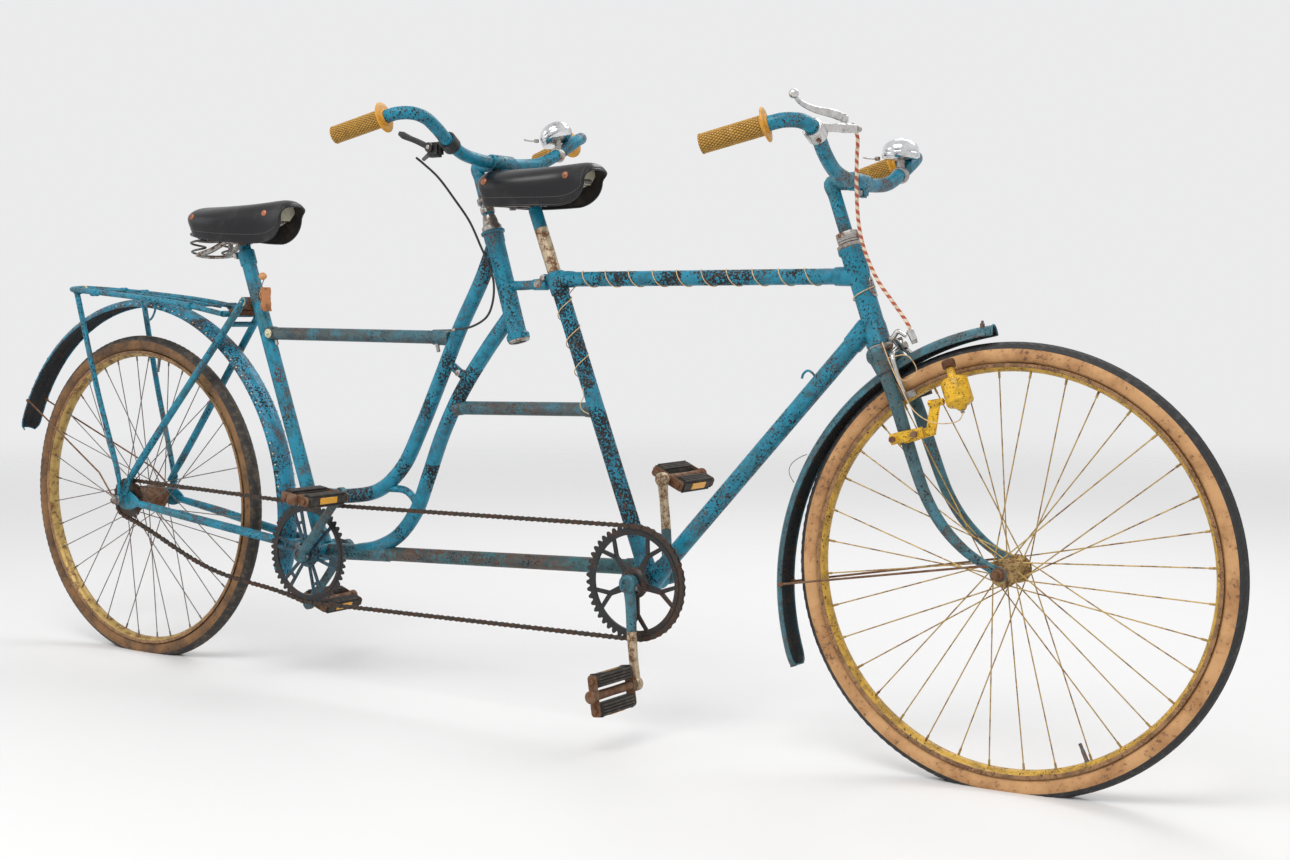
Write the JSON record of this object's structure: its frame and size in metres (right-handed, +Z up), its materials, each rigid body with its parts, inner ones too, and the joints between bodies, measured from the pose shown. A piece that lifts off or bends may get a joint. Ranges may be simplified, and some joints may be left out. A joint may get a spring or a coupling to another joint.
{
  "type": "tandem bicycle",
  "caption": "Old two-seat bicycle joined from a diamond frame and a loop frame, with chain drive, mudguards, rear rack, caliper brake and bottle dynamo.",
  "frame": {"origin": "the middle of the bottom of the bounding box, on the ground between the two wheels", "axes": "+X forward to the front wheel, +Y to the riders' left, +Z up"},
  "size_m": [2.6984, 0.603, 1.0824],
  "materials": {
    "blue_paint": "worn glossy blue enamel",
    "dull_blue_paint": "weathered blue enamel with rust",
    "worn_steel": "worn plated steel",
    "rusty_steel": "rusty steel",
    "plated": "chrome plate",
    "bare_aluminium": "brushed aluminium",
    "amber_grip": "knurled amber plastic",
    "yellow_enamel": "chipped yellow enamel",
    "black_plastic": "black plastic",
    "black_rubber": "worn rubber",
    "black_leather": "glossy worn leather",
    "tan_leather": "untreated leather",
    "gum_tyre": "gum sidewall, black tread",
    "old_tyre": "dirty cracked sidewall, black tread",
    "chain_steel": "oily black steel",
    "cord": "thin flexible sheath"
  },
  "bodies": {
    "frame": {"head_tube": "blue_paint", "top_tube": "blue_paint", "down_tube": "blue_paint", "front_seat_tube": "blue_paint", "boom_tube": "rusty_steel", "mid_brace": "dull_blue_paint", "second_head_tube": "blue_paint", "loop_tubes": "blue_paint", "rear_top_tube": "blue_paint", "rear_seat_tube": "blue_paint", "chain_stays": "blue_paint", "seat_stays": "blue_paint", "rear_axle": "worn_steel", "rear_rack": "blue_paint", "rear_mudguard": "dull_blue_paint", "rear_handlebar": "blue_paint", "rear_grip_right": "amber_grip", "rear_grip_left": "amber_grip", "rear_bell": "plated", "shifter_body": "black_plastic", "shifter_cable": "cord", "lighting_wire": "cord", "leather_tag": "tan_leather", "chain": "chain_steel"},
    "rear_bell_thumb_lever": {"rear_bell_lever": "worn_steel"},
    "shifter": {"shifter_lever": "black_plastic"},
    "front_seat": {"front_seat_post": "rusty_steel", "front_saddle_frame": "worn_steel", "front_saddle_cover": "black_leather"},
    "rear_seat": {"rear_seat_post": "blue_paint", "rear_saddle_frame": "worn_steel", "rear_saddle_cover": "black_leather"},
    "steering": {"fork": "dull_blue_paint", "front_axle": "worn_steel", "front_mudguard": "dull_blue_paint", "front_handlebar": "dull_blue_paint", "front_grip_right": "amber_grip", "front_grip_left": "amber_grip", "brake_lever_bracket": "bare_aluminium", "brake_cable": "cord", "dynamo_bracket": "yellow_enamel", "dynamo_wire": "cord", "front_bell": "plated"},
    "hand_lever": {"brake_lever": "bare_aluminium"},
    "right_caliper": {"brake_arm_right": "bare_aluminium"},
    "left_caliper": {"brake_arm_left": "bare_aluminium"},
    "dynamo": {"dynamo_body": "yellow_enamel"},
    "roller": {"dynamo_roller": "rusty_steel"},
    "front_bell_thumb_lever": {"front_bell_lever": "worn_steel"},
    "wheel_front": {"front_wheel": "rusty_steel", "front_tyre": "gum_tyre"},
    "wheel_rear": {"rear_wheel": "worn_steel", "rear_tyre": "old_tyre"},
    "cranks_front": {"front_crankset": "chain_steel"},
    "cranks_rear": {"rear_crankset": "chain_steel"},
    "sprocket": {"rear_sprocket": "chain_steel"},
    "pedal_front_right": {"front_pedal_right": "black_rubber"},
    "pedal_front_left": {"front_pedal_left": "black_rubber"},
    "pedal_rear_right": {"rear_pedal_right": "black_rubber"},
    "pedal_rear_left": {"rear_pedal_left": "black_rubber"}
  },
  "joints": [
    {"name": "steer", "type": "hinge", "parent": "frame", "child": "steering", "pos_m": [0.76072, 0.00279, 0.74737], "axis": [-0.3237, 0, 0.9462], "range_deg": [-45, 38]},
    {"name": "front_wheel_spin", "type": "hinge", "parent": "steering", "child": "wheel_front", "pos_m": [1.0045, 0.00952, 0.3323], "axis": [-0.066, 0.9976, -0.0226], "continuous": true},
    {"name": "rear_wheel_spin", "type": "hinge", "parent": "frame", "child": "wheel_rear", "pos_m": [-0.94528, 0.00279, 0.33237], "axis": [0, 1, 0], "continuous": true},
    {"name": "front_crank_spin", "type": "hinge", "parent": "frame", "child": "cranks_front", "pos_m": [0.35272, 0.00279, 0.26437], "axis": [0, 1, 0], "continuous": true},
    {"name": "rear_crank_spin", "type": "hinge", "parent": "frame", "child": "cranks_rear", "pos_m": [-0.41828, 0.00279, 0.25637], "axis": [0, 1, 0], "continuous": true},
    {"name": "sprocket_spin", "type": "hinge", "parent": "frame", "child": "sprocket", "pos_m": [-0.94528, -0.04221, 0.33237], "axis": [0, 1, 0], "continuous": true},
    {"name": "front_pedal_right_spin", "type": "hinge", "parent": "cranks_front", "child": "pedal_front_right", "pos_m": [0.37028, -0.13421, 0.09729], "axis": [0, 1, 0], "continuous": true},
    {"name": "front_pedal_left_spin", "type": "hinge", "parent": "cranks_front", "child": "pedal_front_left", "pos_m": [0.33516, 0.13979, 0.43145], "axis": [0, 1, 0], "continuous": true},
    {"name": "rear_pedal_right_spin", "type": "hinge", "parent": "cranks_rear", "child": "pedal_rear_right", "pos_m": [-0.30586, -0.13421, 0.38122], "axis": [0, 1, 0], "continuous": true},
    {"name": "rear_pedal_left_spin", "type": "hinge", "parent": "cranks_rear", "child": "pedal_rear_left", "pos_m": [-0.53069, 0.13979, 0.13152], "axis": [0, 1, 0], "continuous": true},
    {"name": "brake_lever_pull", "type": "hinge", "parent": "steering", "child": "hand_lever", "pos_m": [0.79495, -0.14051, 1.00155], "axis": [0.0012, -0.0282, -0.9996], "range_deg": [0, 20], "stiffness_Nm_per_rad": 1.5, "springref_deg": -17.19},
    {"name": "caliper_right_close", "type": "hinge", "parent": "steering", "child": "right_caliper", "pos_m": [0.81108, 0.00425, 0.66491], "axis": [0.9439, 0.0698, 0.3229], "range_deg": [0, 1]},
    {"name": "caliper_left_close", "type": "hinge", "parent": "steering", "child": "left_caliper", "pos_m": [0.81108, 0.00425, 0.66491], "axis": [0.9439, 0.0698, 0.3229], "range_deg": [-1, 0]},
    {"name": "dynamo_tilt", "type": "hinge", "parent": "steering", "child": "dynamo", "pos_m": [0.90863, -0.05326, 0.58471], "axis": [0.9978, 0.066, -0.0007], "range_deg": [-7, 0]},
    {"name": "dynamo_roller_spin", "type": "hinge", "parent": "dynamo", "child": "roller", "pos_m": [0.91511, -0.02932, 0.64919], "axis": [-0.4057, 0.2257, 0.8857], "continuous": true},
    {"name": "front_bell_push", "type": "hinge", "parent": "steering", "child": "front_bell_thumb_lever", "pos_m": [0.71525, 0.14326, 0.97545], "axis": [-0.0012, 0.0282, 0.9996], "range_deg": [0, 25], "stiffness_Nm_per_rad": 0.05, "springref_deg": -5.73},
    {"name": "rear_bell_push", "type": "hinge", "parent": "frame", "child": "rear_bell_thumb_lever", "pos_m": [0.01172, 0.14079, 1.04537], "axis": [0, 0, 1], "range_deg": [0, 25], "stiffness_Nm_per_rad": 0.05, "springref_deg": -5.73},
    {"name": "shifter_turn", "type": "hinge", "parent": "frame", "child": "shifter", "pos_m": [0.00172, -0.15921, 1.00937], "axis": [0, 1, 0], "range_deg": [-30, 30]},
    {"name": "front_seat_height", "type": "slide", "parent": "frame", "child": "front_seat", "axis": [-0.3552, 0, 0.9348], "range_m": [-0.035, 0]},
    {"name": "rear_seat_height", "type": "slide", "parent": "frame", "child": "rear_seat", "axis": [-0.3324, 0, 0.9431], "range_m": [-0.01, 0.05]}
  ],
  "couplings": [
    {"joint": "rear_crank_spin", "follows": "front_crank_spin", "ratio": 1},
    {"joint": "sprocket_spin", "follows": "front_crank_spin", "ratio": 2.4},
    {"joint": "caliper_right_close", "follows": "brake_lever_pull", "ratio": 0.05},
    {"joint": "caliper_left_close", "follows": "brake_lever_pull", "ratio": -0.05}
  ]
}
